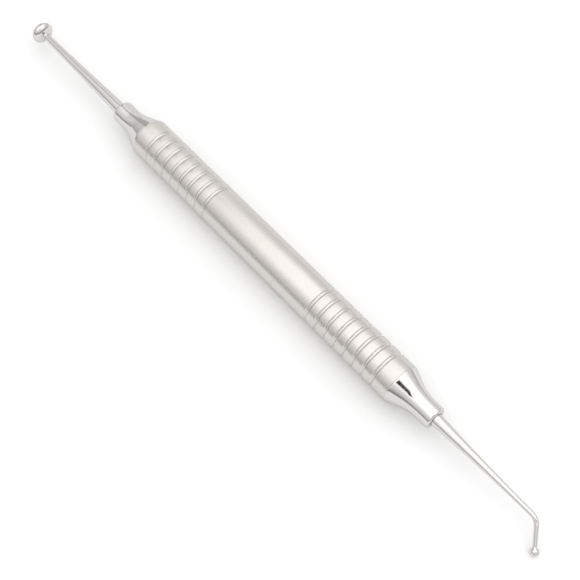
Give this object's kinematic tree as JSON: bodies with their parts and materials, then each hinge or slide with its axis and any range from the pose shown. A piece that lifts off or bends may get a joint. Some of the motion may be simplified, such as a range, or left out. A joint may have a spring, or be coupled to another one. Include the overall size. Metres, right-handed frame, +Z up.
{
  "type": "dental burnisher",
  "caption": "Double-ended dental burnisher: hollow satin steel handle with grip grooves, straight end with a large flattened polished head, bent end with a small ball.",
  "frame": {"origin": "middle of the barrel, on its axis", "axes": "+X along the handle towards the bent end with the small ball, +Z up from the table that the barrel and the small ball rest on, small ball leaning to -Y"},
  "size_m": [0.1768, 0.0101, 0.01],
  "materials": {
    "satin_steel": "satin",
    "polished_steel": "polished"
  },
  "bodies": {
    "root": {"handle_barrel": "satin_steel", "straight_end_ferrule": "polished_steel", "bent_end_ferrule": "polished_steel", "large_head_insert": "polished_steel", "small_ball_insert": "polished_steel"}
  },
  "joints": []
}
